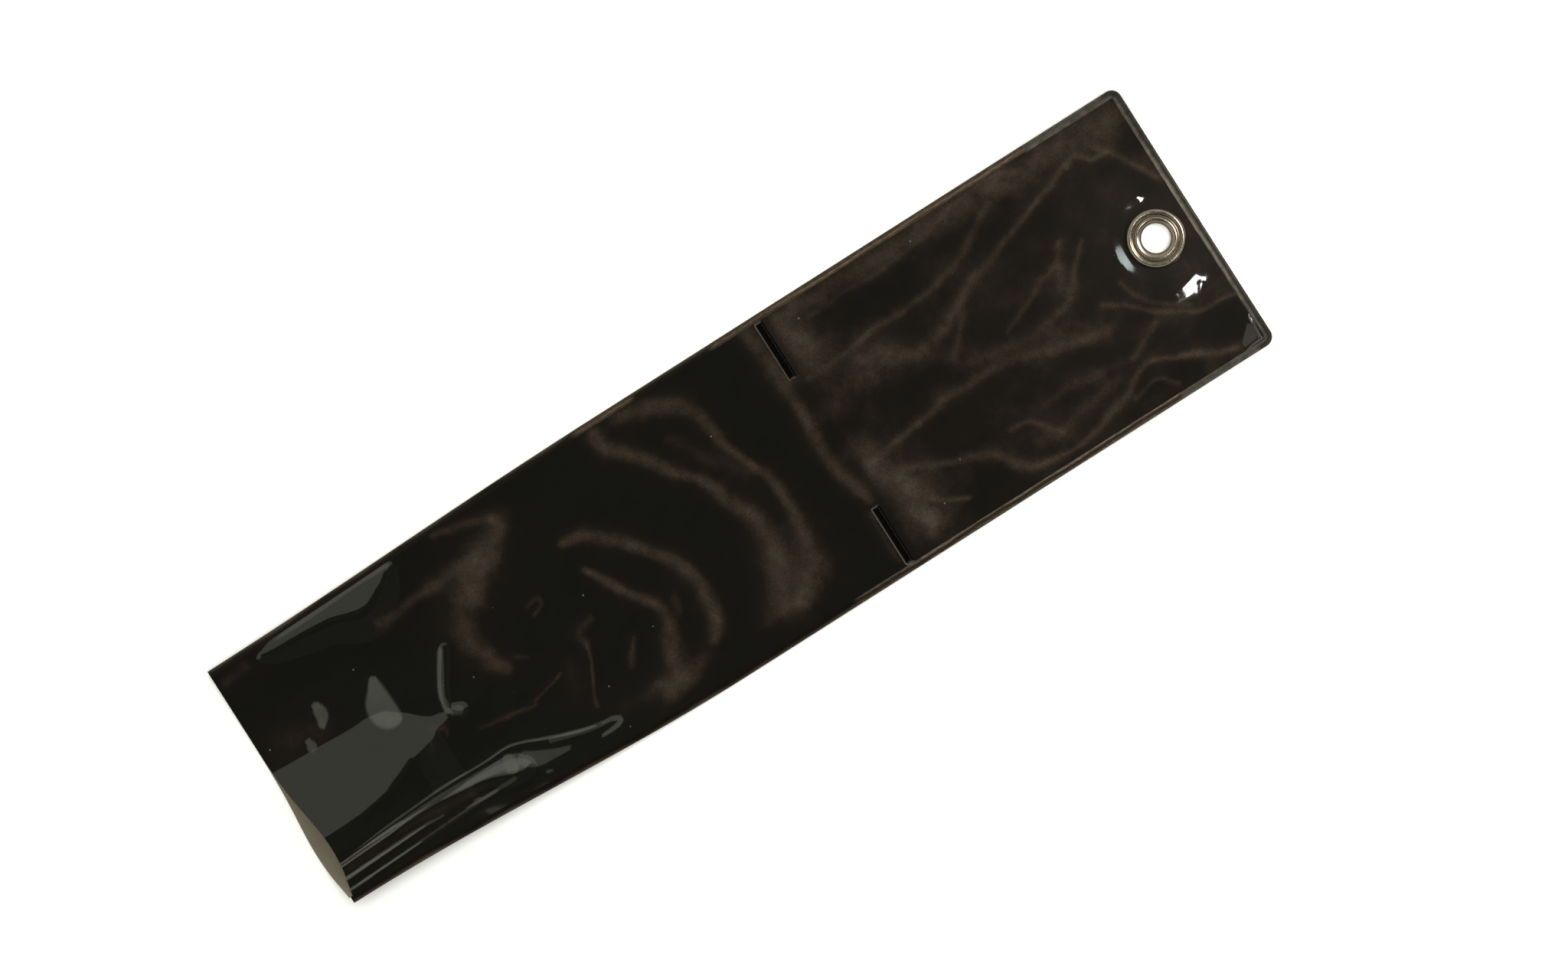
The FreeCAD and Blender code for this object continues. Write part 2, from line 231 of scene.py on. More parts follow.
POCKET_STROKES = (
    # the two arcs that meet in a wide patch beside the right seam
    Stroke(0.56, 0.1, (-21, 46, 2.4), (-8, 43, 3.2), (2, 37, 3.5), (5, 29, 2.4), (6, 20, 1.8),
           (9, 10, 1.8), (13, 0, 2.2), (14, -10, 2.4), (13, -22, 4), (8, -33, 5.5),
           (0, -40, 3)),
    Stroke(0.6, 0.1, (-30, 46, 2.6), (-28, 40, 2.6), (-22, 33, 2.4), (-13, 21, 2.2),
           (-6, 11, 2.4), (-2, 2, 2.6), (1, -8, 3), (1, -18, 5), (-2, -28, 5.5), (-6, -36, 5)),
    Stroke(0.15, 0.05, (-14, -40, 2.5), (-4, -38, 3), (3, -34, 4)),
    Stroke(0.2, 0.0, (-8, 30, 2), (-3, 22, 3), (2, 14, 3.5), (6, 6, 3)),
    # the next pair, nearer the mouth
    Stroke(0.6, 0.1, (-57, 21, 1.6), (-50, 19, 2.2), (-42, 11, 2.4), (-36, 4, 2.6),
           (-30, -3, 2.6), (-27, -12, 3.2), (-26, -22, 3.2), (-28, -30, 2.8), (-33, -35, 2)),
    Stroke(0.56, 0.1, (-56, 8, 1.2), (-51, -1, 1.8), (-46, -9, 1.8), (-42, -15, 2),
           (-42, -22, 2.6), (-45, -30, 3.6), (-49, -38, 4.2), (-55, -43, 3)),
    Stroke(0.31, 0.0, (-56, -38, 2.5), (-47, -40, 3.5), (-38, -38, 2.5)),
    Stroke(0.31, 0.1, (-36, -15, 1.5), (-37, -20, 1.6)),
    # the forked patch below the left seam
    Stroke(0.48, 0.1, (-74, 41, 1.8), (-73, 37, 2.8), (-80, 32, 4.6), (-91, 26, 5),
           (-99.5, 19, 5), (-102, 10, 4.2), (-100, 1, 3.4), (-96, -5, 2.2)),
    Stroke(0.28, 0.0, (-70, 39, 3), (-78, 35, 5), (-92, 24, 5)),
    Stroke(0.38, 0.1, (-85, 33, 2.4), (-98, 32, 2.6), (-111, 31, 1.8), (-125, 31, 2.2)),
    Stroke(0.38, 0.1, (-93, 46, 1.3), (-83, 44, 1.6), (-75, 42, 1.6)),
    # small marks between them
    Stroke(0.38, 0.1, (-79, 9, 0.8), (-75, 9, 1), (-75, 6, 1), (-78, 5, 0.8)),
    Stroke(0.31, 0.1, (-64, -6, 1.3), (-69, -8, 2), (-69, -13, 1.2)),
    Stroke(0.44, 0.1, (-69, -12, 0.7), (-71, -19, 0.6), (-76, -28, 0.6), (-77, -32, 0.8)),
    Stroke(0.38, 0.1, (-55, -19, 0.9), (-57, -23, 1.4), (-60, -27, 1.3)),
    Stroke(0.38, 0.12, (-115, -17, 0.6), (-104, -19, 0.8), (-94, -20.5, 0.5)),
    Stroke(0.38, 0.12, (-94, -19, 0.5), (-83, -16, 0.6)),
    Stroke(0.31, 0.1, (-92, -3, 1), (-88, -5, 0.7)),
    Stroke(0.19, 0.0, (-70, -37, 3), (-60, -38, 3)),
    Stroke(0.15, 0.0, (-78, -15, 4), (-80, -24, 4)),
    # the crease between the stop welds, on their mouth side
    Stroke(0.56, 0.1, (32.6, 47, 3), (33.4, 38, 3), (34, 27, 2.8), (34.5, 18, 2.2),
           (33, 5, 2.4), (34, -8, 2.2), (36, -17, 2.2), (37, -22, 1.6)),
    Stroke(0.28, 0.1, (35, -27, 1.2), (34.6, -38, 1.3), (35, -46, 1.2)),
    # brown corners of the mouth
    Stroke(0.22, 0.0, (-179, 42, 3), (-172, 43, 3)),
    Stroke(0.18, 0.0, (-176, 15, 6), (-160, 12, 5)),
)

TAIL_STROKES = (
    # dark patches where the sheets touch
    Stroke(-0.063, 0.0, (56, 34, 5), (75, 34, 6), (95, 36, 5), (116, 37, 3.5)),
    Stroke(-0.054, 0.0, (45, 2, 3.5), (60, 1, 6), (77, 2, 4)),
    Stroke(-0.063, 0.0, (110, 21, 3.5), (130, 24, 5), (150, 27, 6), (166, 26, 5), (172, 18, 5)),
    Stroke(-0.063, 0.0, (140, 6, 5), (148, 2, 7), (147, -8, 5)),
    Stroke(-0.054, 0.0, (158, -14, 4), (166, -17, 4)),
    Stroke(-0.072, 0.0, (149, -28, 4), (158, -34, 5), (168, -36, 6), (174, -38, 5)),
    Stroke(-0.063, 0.0, (60, -43, 4), (72, -40, 5), (81, -39, 4)),
    Stroke(-0.054, 0.0, (136, -41, 3), (148, -44, 3), (158, -44, 3)),
    Stroke(-0.027, 0.0, (66, -16, 4), (90, -16, 5), (112, -22, 5)),
    # pale puffs beside the stop welds
    Stroke(0.8, 0.0, (45, 41, 4), (46.3, 35, 5.2), (46, 28, 4.6)),
    Stroke(0.7, 0.0, (44.5, -12, 3.8), (47, -20, 5.2), (51, -29, 5.4), (51.5, -38, 5),
           (49, -43, 2.5)),
    Stroke(0.35, 0.0, (50, -44, 2.2), (52, -32, 2.6), (50, -22, 2.6)),
    Stroke(0.54, 0.05, (61, 20, 2), (67, 16, 3.4), (73, 13, 3), (77, 10, 1.6)),
    Stroke(0.16, 0.05, (83, 7, 4), (88, 1, 4)),
    Stroke(0.27, 0.05, (42, 10, 4), (50, 12, 5), (60, 13, 5)),
    Stroke(0.15, 0.0, (42, -6, 4), (46, -8, 3)),
    # the smooth brown strip along the left seam
    Stroke(0.38, 0.0, (44, 46, 2.5), (80, 45, 3.5), (110, 45, 3.5), (140, 44, 4.5),
           (160, 43, 5), (174, 42, 5)),
    Stroke(0.22, 0.0, (172, 42, 6), (170, 34, 4)),
    Stroke(0.2, 0.0, (54, 41, 0.9), (75, 41, 0.9), (100, 42.5, 0.9), (114, 46, 0.9),
           (130, 46.5, 0.9), (141, 45, 0.8)),
    # long ridges that fan out to the closed end
    Stroke(0.35, 0.05, (42, 22, 1.4), (60, 24, 1.4), (76, 25, 1.2), (92, 26, 1.2),
           (106, 30, 1.6), (117, 36, 1.8), (125, 39, 1.3)),
    Stroke(0.43, 0.05, (80, 11, 2), (90, 13, 2), (100, 18, 1.8), (112, 23, 1.8),
           (124, 27, 1.3), (140, 32, 1.1), (155, 37.5, 1)),
    Stroke(0.27, 0.05, (87, 2, 1.8), (93, 8, 1.4), (98, 14, 1.4)),
    Stroke(0.27, 0.05, (108, 0, 0.8), (118, 4, 1), (128, 9, 1), (134, 12, 1.6), (138, 17, 1)),
    Stroke(0.27, 0.05, (118, -4, 1), (131, -2, 2), (138, 5, 1.4), (145, 12, 0.8)),
    Stroke(0.24, 0.05, (131, 3, 3), (134, 9, 2)),
    Stroke(0.38, 0.05, (47, -13, 2), (60, -10.5, 1.5), (75, -8.5, 1.5), (90, -7, 1.7),
           (104, -9, 1.8), (118, -13, 2.2), (135, -17, 2.2)),
    Stroke(0.19, 0.05, (92, -2, 2), (104, -5, 2.6), (116, -6, 2.6), (128, -10, 2.4)),
    Stroke(0.46, 0.05, (54, -21, 2), (65, -25.5, 1.4), (75, -29, 1.6), (83, -34, 1.8),
           (88, -40, 1.8), (94, -44, 1.4), (106, -45, 1.1), (120, -43, 1.4), (130, -40, 1.6),
           (137, -35, 1.2), (144, -34, 1), (152, -38, 1.2), (160, -42, 1.6), (170, -46, 1.6)),
    Stroke(0.47, 0.05, (56, -34, 1.1), (61, -37, 0.9), (67, -40, 0.7)),
    Stroke(0.3, 0.05, (91, -28, 0.9), (97, -29, 0.9), (101, -33, 1.3), (104, -37, 1)),
    Stroke(0.19, 0.05, (105, -27, 1.6), (118, -28, 2), (134, -29, 2)),
    Stroke(0.24, 0.05, (98, -38, 2.4), (118, -36, 2.4), (130, -33, 2)),
    Stroke(0.3, 0.05, (138, -30, 1.2), (144, -27, 1.4), (151, -24, 0.9)),
    Stroke(0.27, 0.05, (132, -42, 1), (141, -41, 0.9), (147, -46, 0.9)),
    # folds round the grommet
    Stroke(0.27, 0.05, (139, -9, 1.2), (147, -15, 1), (154, -22, 1), (162, -27, 1),
           (171, -29, 0.8), (179, -31, 0.8)),
    Stroke(0.22, 0.05, (149, -7, 0.8), (151, -14, 0.8), (157, -21, 0.8), (164, -25, 0.8)),
    Stroke(0.32, 0.05, (154, 36, 1), (158, 38, 1.1), (163, 34, 1), (168, 33, 0.8)),
    Stroke(0.3, 0.05, (165, 38, 1.2), (172, 28, 1.2), (176, 20, 1.2), (179, 16, 1)),
)

# Sharp folds beside the right seam near the mouth, and small dents in the gape.
MOUTH_STROKES = (
    Stroke(0.0, 0.55, (-185, -31, 0.6), (-178, -30.6, 0.6), (-165, -29.3, 0.55),
           (-150, -28.4, 0.5), (-135, -27.8, 0.5), (-120, -28.2, 0.5), (-111, -28, 0.6),
           (-105, -29.7, 0.7), (-100, -31.9, 0.8), (-90, -35.8, 0.8), (-82, -38, 0.7)),
    Stroke(0.0, 0.5, (-156, -31.9, 0.8), (-146, -31.2, 1.35), (-134, -31.75, 1.9),
           (-122, -33.3, 2.6), (-114, -36.2, 4.2), (-110, -37, 3.2)),
    Stroke(0.06, 0.38, (-152, -39.4, 0.5), (-140, -38.9, 0.7), (-130, -38.6, 0.8),
           (-121, -38.6, 0.9)),
    Stroke(0.08, 0.0, (-184, -34.5, 2.4), (-160, -34.5, 2), (-130, -34.5, 2)),
    Stroke(0.14, 0.0, (-180, -33, 1.5), (-150, -32.5, 1.5), (-125, -34.5, 1.6)),
    # the hooked dent and the small marks beside it
    Stroke(0.0, 0.3, (-110.5, 12.2, 1.8), (-115, 5.5, 2.0), (-118.3, 0, 1.9),
           (-119.8, -5, 1.8), (-117.5, -9, 2.4)),
    Stroke(0.3, 0.1, (-128.5, -8.4, 0.9), (-125, -11, 1.1), (-125.5, -14, 0.7)),
    Stroke(0.2, 0.0, (-131, -12, 0.8), (-132.5, -15.5, 0.7)),
)

# Painted reflections: where the film's colour is made paler to stand for the sheen off its
# creases; the first number is how white it is.
PAINTED_SHEEN_STROKES = (
    Stroke(0.9, 0.0, (-136.9, 15.4, 1.7), (-137.9, 12, 2.9), (-139.4, 7.5, 4.6),
           (-139.3, 3.6, 4.6), (-137.6, 1.2, 2.6)),
    Stroke(0.85, 0.0, (-157.8, 18.8, 1.4), (-157.6, 15.6, 2.2), (-159.4, 12, 1.0)),
    Stroke(0.7, 0.0, (-166.2, 10, 1.1), (-166.3, 7.8, 1.6)),
    Stroke(0.5, 0.0, (-112.2, 12.4, 1.0), (-116.8, 4.8, 1.2), (-120, -1, 1.1),
           (-120.8, -6, 1.1)),
    Stroke(0.35, 0.0, (-119.5, -7.4, 1.3), (-117.6, -8.2, 1.6)),
    # the bands beside the right seam
    Stroke(0.45, 0.0, (-180, -31.2, 0.8), (-165, -30.5, 0.8), (-150, -29.9, 0.85),
           (-140, -29.8, 1.0), (-131, -30.3, 1.3), (-122, -30.9, 1.6), (-116, -31.6, 1.8)),
    Stroke(0.45, 0.0, (-180, -35.9, 0.75), (-160, -35.1, 0.6), (-150, -34.9, 0.5),
           (-141, -35.5, 0.3)),
    Stroke(0.35, 0.0, (-178, -39.6, 0.4), (-150, -38.6, 0.4), (-130, -38, 0.5),
           (-114, -37.9, 0.7)),
    Stroke(0.6, 0.0, (-112.6, -31.6, 2.2), (-112.8, -34, 2.4)),
    Stroke(0.5, 0.0, (-107.5, -34.2, 2.6), (-104, -36.2, 2.6), (-98, -37.9, 1.5),
           (-93, -38.9, 0.7)),
    Stroke(0.4, 0.0, (-97, -33.6, 0.8), (-90, -35.4, 1.0), (-84, -37.2, 0.9),
           (-79, -38, 0.9)),
    Stroke(0.75, 0.0, (-79, -37.9, 0.6), (-75.5, -38.4, 0.8), (-73.3, -39.8, 1.0),
           (-75, -41.2, 0.8), (-81, -41.6, 0.6)),
    Stroke(0.6, 0.0, (-103.6, -41.8, 0.5), (-102.2, -42.3, 0.4)),
)

# Bulges of the front sheet beside the grommet.
GROMMET_STROKES = (
    Stroke(0.0, 0.155, (162, -18.6, 3.4), (166.5, -17.3, 4.4), (170.8, -16.2, 4.5)),
    Stroke(0.0, -0.12, (169.5, -24, 1.0), (171.5, -21.4, 1.2)),
    Stroke(0.0, 0.172, (164.5, 16.2, 2.2), (168.6, 16.2, 2.7)),
)

# Relief close to the welds.
EDGE_STROKES = (
    Stroke(0.0, 0.43, (-164, 42.8, 1.6), (-158, 41.8, 3.2), (-150, 41.2, 4.4), (-138, 39.8, 5.6),
           (-127, 36.8, 7.4), (-119, 40.2, 5.4), (-113.5, 44.2, 3.0)),
    Stroke(0.0, 0.39, (177.5, -49.5, 5.2), (183, -43.8, 4.8)),
)

# Left flank of the gape: y of its foot, y of its crest and its rise, at these x.
FLANK_X = (-190, -165, -152, -146, -140, -134, -130, -127, -122, -108)
FLANK_FOOT = (8.0, 7.2, 7.0, 7.2, 6.0, 1.5, -2.5, -4.6, -5.4, -6.0)
FLANK_CREST = (-20.5, -20.3, -18.5, -16.2, -13.4, -12.4, -11.6, -9.2, -9.2, -9.0)
FLANK_RISE = (10.8, 8.2, 6.3, 5.8, 5.0, 3.7, 2.5, 1.3, 0.9, 0.0)
# Right flank: steps down to the right seam, as (y at the mouth, y further in, half width,
# share of the drop, x where it has faded).
FLANK_TOP = -28.0
FLANK_STEPS = ((-31.1, -29.2, 0.6, 0.24, -112), (-35.9, -34.3, 0.45, 0.14, -138),
               (-39.8, -37.9, 0.4, 0.14, -118))
STEPS_FROM, STEPS_TO = -180.0, -118.0

HAZE_TOP = 1.4           # the most haze that the vinyl shows
BASE_HAZE = 0.135        # in the tail; the pocket's is 0
DIMPLE_SLOPE = 0.24      # beside the grommet, on the side away from the end


def gape(x, y):
    """Height of the open mouth: a straight left flank, a flat crest, a stepped right flank."""
    foot, crest, rise = (np.interp(x, FLANK_X, values)
                         for values in (FLANK_FOOT, FLANK_CREST, FLANK_RISE))
    left = soft_ramp((foot - y) / (foot - crest))
    seam = right_edge(x) + SEAM_WIDTH
    right = soft_ramp((y - seam) / (FLANK_TOP - seam), 0.08)
    inwards = np.clip((x - STEPS_FROM) / (STEPS_TO - STEPS_FROM), 0, 1)
    stepped = right.copy()
    for y_mouth, y_inside, half, share, faded in FLANK_STEPS:
        line = y_mouth + (y_inside - y_mouth) * inwards
        step = (1 + np.tanh((y - line) / half)) / 2
        stepped += share * (1 - smooth(x, faded - 14, faded)) * (step - right)
    return rise * left * stepped


def dimple(x, y):
    """The sheet dips towards the grommet and stands puffed up around it."""
    away = np.hypot(x - GROMMET[0], y - GROMMET[1])
    facing = np.clip((GROMMET[0] - x) / np.maximum(away, 1), 0, 1) ** 2
    rise = DIMPLE_SLOPE * 4.2 * soft_ramp((away - GROMMET_RADIUS - 0.9) / 4.2, 0.06)
    settle = 1 - smooth(away, GROMMET_RADIUS + 6, GROMMET_RADIUS + 26)
    return (0.25 + 0.75 * facing) * rise * settle


def gap_between(x, y):
    """How far the front sheet stands off the back sheet."""
    gap = dimple(x, y)
    for stroke in POCKET_STROKES + TAIL_STROKES + MOUTH_STROKES + GROMMET_STROKES:
        if stroke.slope:
            stroke.add_height(x, y, gap)
    edge = np.minimum(y - right_edge(x), left_edge(x) - y) - SEAM_WIDTH
    end = CLOSED_X - END_WIDTH - x
    from_weld = np.minimum(edge, end)
    near_weld = np.zeros(x.shape)
    for stroke in EDGE_STROKES:
        stroke.add_height(x, y, near_weld)
    gap = (gap * smooth(from_weld, -0.2, 3.5) + gape(x, y) * smooth(edge, -0.2, 1.0)
           + near_weld * smooth(from_weld, -0.2, 1.2))
    from_grommet = np.hypot(x - GROMMET[0], y - GROMMET[1])
    return gap * smooth(from_grommet, GROMMET_RADIUS - 2, GROMMET_RADIUS + 1.0)


def haze_at(x, y):
    """Haze of every point, from strokes that wander a little."""
    warp_x = 1.0 * noise(x, y, 9, 1) + 0.2 * noise(x, y, 3, 2)
    warp_y = 1.0 * noise(x, y, 9, 3) + 0.2 * noise(x, y, 3, 4)
    u, v = x + warp_x, y + warp_y
    haze = BASE_HAZE * smooth(x, FOLD_FROM, FOLD_TO) * (1 + 0.5 * noise(x, y, 7, 5))
    for stroke in POCKET_STROKES + TAIL_STROKES + MOUTH_STROKES:
        if stroke.haze:
            stroke.add_haze(u, v, haze)
    patchy = 1 + 0.25 * noise(x, y, 6, 6) + 0.2 * noise(x, y, 2.2, 7)
    return np.clip(haze * patchy, 0, HAZE_TOP)


def painted_sheen_at(x, y):
    """How far the film is painted paler as reflection, from 0 to 1, with fairly crisp borders.
    """
    pale = np.zeros(x.shape)
    for stroke in PAINTED_SHEEN_STROKES:
        mark = np.zeros(x.shape)
        near = stroke.reach(x, y)
        distance, _ = stroke.measure(x[near], y[near])
        mark[near] = stroke.haze * (1 - smooth(distance, 0.85, 1.15))
        pale = np.maximum(pale, mark)
    return pale * (1 + 0.12 * noise(x, y, 3, 8))


# ---- mesh helpers -------------------------------------------------------------------

def new_object(name, content):
    made = bpy.data.objects.new(name, content)
    bpy.context.scene.collection.objects.link(made)
    return made


def enclosed_volume(mesh):
    """Volume inside the mesh; negative when its faces point inwards."""
    solid = bmesh.new()
    solid.from_mesh(mesh)
    volume = solid.calc_volume(signed=True)
    solid.free()
    return volume


def new_mesh(name, points, faces, materials, face_material=None, flat=None, **floats):
    """A mesh object from millimetre points, with named float attributes.

    Faces are smooth except where flat is true, with sharp edges round those, and all
    face outwards.
    """
    mesh = bpy.data.meshes.new(name)
    mesh.from_pydata((np.asarray(points, float) * MM).tolist(), [], faces)
    for material in materials:
        mesh.materials.append(material)
    if face_material is not None:
        mesh.polygons.foreach_set("material_index", np.asarray(face_material, np.int32))
    flat = np.zeros(len(faces), bool) if flat is None else np.asarray(flat, bool)
    mesh.polygons.foreach_set("use_smooth", ~flat)
    edge_of_corner = np.empty(len(mesh.loops), np.int32)
    mesh.loops.foreach_get("edge_index", edge_of_corner)
    sharp = np.zeros(len(mesh.edges), bool)
    sharp[edge_of_corner[np.repeat(flat, [len(face) for face in faces])]] = True
    mesh.edges.foreach_set("use_edge_sharp", sharp)
    for key, values in floats.items():
        attribute = mesh.attributes.new(key, "FLOAT", "POINT")
        attribute.data.foreach_set("value", np.asarray(values, np.float32))
    mesh.update()
    if enclosed_volume(mesh) < 0:
        mesh.flip_normals()
    return new_object(name, mesh)


def grid_lines(low, high, step, stops=()):
    """Evenly spaced values from low to high that also hit every stop."""
    marks = [low] + sorted(s for s in stops if low < s < high) + [high]
    parts = [np.linspace(a, b, max(1, round((b - a) / step)), endpoint=False)
             for a, b in zip(marks, marks[1:])]
    return np.append(np.concatenate(parts), high)


def sheet_grid(step, crease_step, scoop):
    """Flat grid of a sheet: x, y and its quads, with the holes left out."""
    stop_low, stop_high = node_box("stop_weld_left")
    x_stops = [stop_low[0] + 0.3, stop_high[0] - 0.3, FOLD_FROM, FOLD_TO, LEG_X]
    fold = np.linspace(FOLD_FROM, FOLD_TO, 9)
    xs = grid_lines(MOUTH_X, CLOSED_X - END_WIDTH, step, x_stops + list(fold[1:-1]))
    inner = HALF_WIDTH - SEAM_WIDTH
    y_stops = [s * v for v in (stop_low[1] + 0.3, stop_high[1] - 0.3) for s in (-1, 1)]
    creased = grid_lines(*CREASE_BAND, crease_step, y_stops)
    ys = np.concatenate([grid_lines(-inner, CREASE_BAND[0], step)[:-1], creased,
                         grid_lines(CREASE_BAND[1], inner, step, y_stops)[1:]])
    x, flat_y = (g.ravel().copy() for g in np.meshgrid(xs, ys, indexing="ij"))
    low, high = right_edge(x) + SEAM_WIDTH, left_edge(x) - SEAM_WIDTH
    y = low + (high - low) * (flat_y + inner) / (2 * inner)
    across = len(ys)
    i, j = (g.ravel() for g in np.meshgrid(np.arange(len(xs) - 1), np.arange(across - 1),
                                           indexing="ij"))
    first = i * across + j
    quads = np.stack([first, first + across, first + across + 1, first + 1], 1)
    centre_x, centre_y = x[quads].mean(1), flat_y[quads].mean(1)
    in_stop = ((centre_x > x_stops[0]) & (centre_x < x_stops[1])
               & (abs(centre_y) > stop_low[1] + 0.3) & (abs(centre_y) < stop_high[1] - 0.3))
    beside_leg = (centre_x > LEG_X) & (abs(centre_y) > HALF_WIDTH - END_WIDTH + 0.4)
    from_grommet = np.hypot(x - GROMMET[0], y - GROMMET[1])
    in_hole = (from_grommet[quads] < HOLE_RADIUS).any(1)
    quads = quads[~(in_stop | beside_leg | in_hole)]
    near = (from_grommet >= HOLE_RADIUS) & (from_grommet < HOLE_RADIUS + 1.5 * step)
    rim = near & np.isin(np.arange(len(x)), border_points(quads))
    x[rim] = GROMMET[0] + (x[rim] - GROMMET[0]) * HOLE_RADIUS / from_grommet[rim]
    y[rim] = GROMMET[1] + (y[rim] - GROMMET[1]) * HOLE_RADIUS / from_grommet[rim]
    share = width_share(x, y)
    bulge = np.exp(-((share - LIP_MIDDLE) / 0.22) ** 2) * smooth(share, -0.15, 0.12)
    x = x + scoop * bulge * (1 - smooth(x, MOUTH_X, MOUTH_X + LIP_REACH))
    return x, y, quads


def border_edges(quads):
    """Directed edges that only one quad has."""
    edges = np.concatenate([quads[:, [k, (k + 1) % 4]] for k in range(4)])
    there = {(int(a), int(b)) for a, b in edges}
    return [(a, b) for a, b in there if (b, a) not in there]


def border_points(quads):
    return np.array(sorted({a for edge in border_edges(quads) for a in edge}))


def closed_sheet(name, x, y, bottom, quads, inner_side, haze, pale):
    """A closed sheet on its bottom surface; inner_side is "top" or "bottom"."""
    used = np.unique(quads)
    renumber = np.full(len(x), -1)
    renumber[used] = np.arange(len(used))
    quads = renumber[quads]
    count = len(used)
    x, y, bottom = x[used], y[used], bottom[used]
    points = np.vstack([np.stack([x, y, bottom + SHEET_THICK], 1),
                        np.stack([x, y, bottom], 1)])
    walls = [(b, a, a + count, b + count) for a, b in border_edges(quads)]
    faces = quads.tolist() + (quads[:, ::-1] + count).tolist() + walls
    inner = {"top": (1, 0), "bottom": (0, 1)}[inner_side]
    face_material = [inner[0]] * len(quads) + [inner[1]] * len(quads) + [0] * len(walls)
    flat = np.arange(len(faces)) >= 2 * len(quads)
    # pale carries the painted reflection to the outer material
    return new_mesh(name, points, faces, [OUTER, INNER], face_material, flat,
                    haze=np.tile(haze[used], 2), pale=np.tile(pale[used], 2))


def ring_faces(count, size, closed=False):
    """Quads between rings of size points, with a cap at both ends unless they close up."""
    faces = [(r * size + k, (r + 1) % count * size + k,
              (r + 1) % count * size + (k + 1) % size, r * size + (k + 1) % size)
             for r in range(count if closed else count - 1) for k in range(size)]
    if not closed:
        last = range((count - 1) * size, count * size)
        faces += [tuple(range(size)), tuple(reversed(last))]
    return faces


def swept(name, centres, inwards, profile, walls, materials, **floats):
    """A closed bar: profile points (inwards, up) carried along centres.

    profile is a function of the step; walls are the profile's upright sides.
    """
    rings = []
    for step, (centre, inward) in enumerate(zip(centres, inwards)):
        rings.append([centre + inward * a + np.array([0, 0, b]) for a, b in profile(step)])
    size = len(rings[0])
    points = np.array(rings).reshape(-1, 3)
    flat = [k in walls for k in range(size)] * (len(rings) - 1) + [True, True]
    return new_mesh(name, points, ring_faces(len(rings), size), materials, flat=flat,
                    **floats)


def lathe(name, profile, centre, material, segments=128, **floats):
    """A closed ring turned about the vertical through centre."""
    size = len(profile)
    angles = np.linspace(0, 2 * np.pi, segments, endpoint=False)
    points = [(centre[0] + r * math.cos(a), centre[1] + r * math.sin(a), z)
              for a in angles for r, z in profile]
    return new_mesh(name, points, ring_faces(segments, size, closed=True), [material],
                    **{key: np.tile(values, segments) for key, values in floats.items()})


def rounded(points, samples=6):
    """A smooth closed curve through the points."""
    points = np.array(points, float)
    steps = np.linspace(0, 1, samples, endpoint=False)[:, None]
    return np.vstack([spline(*(points[(k + n) % len(points)] for n in (-1, 0, 1, 2)), steps)
                      for k in range(len(points))])


# ---- materials ----------------------------------------------------------------------

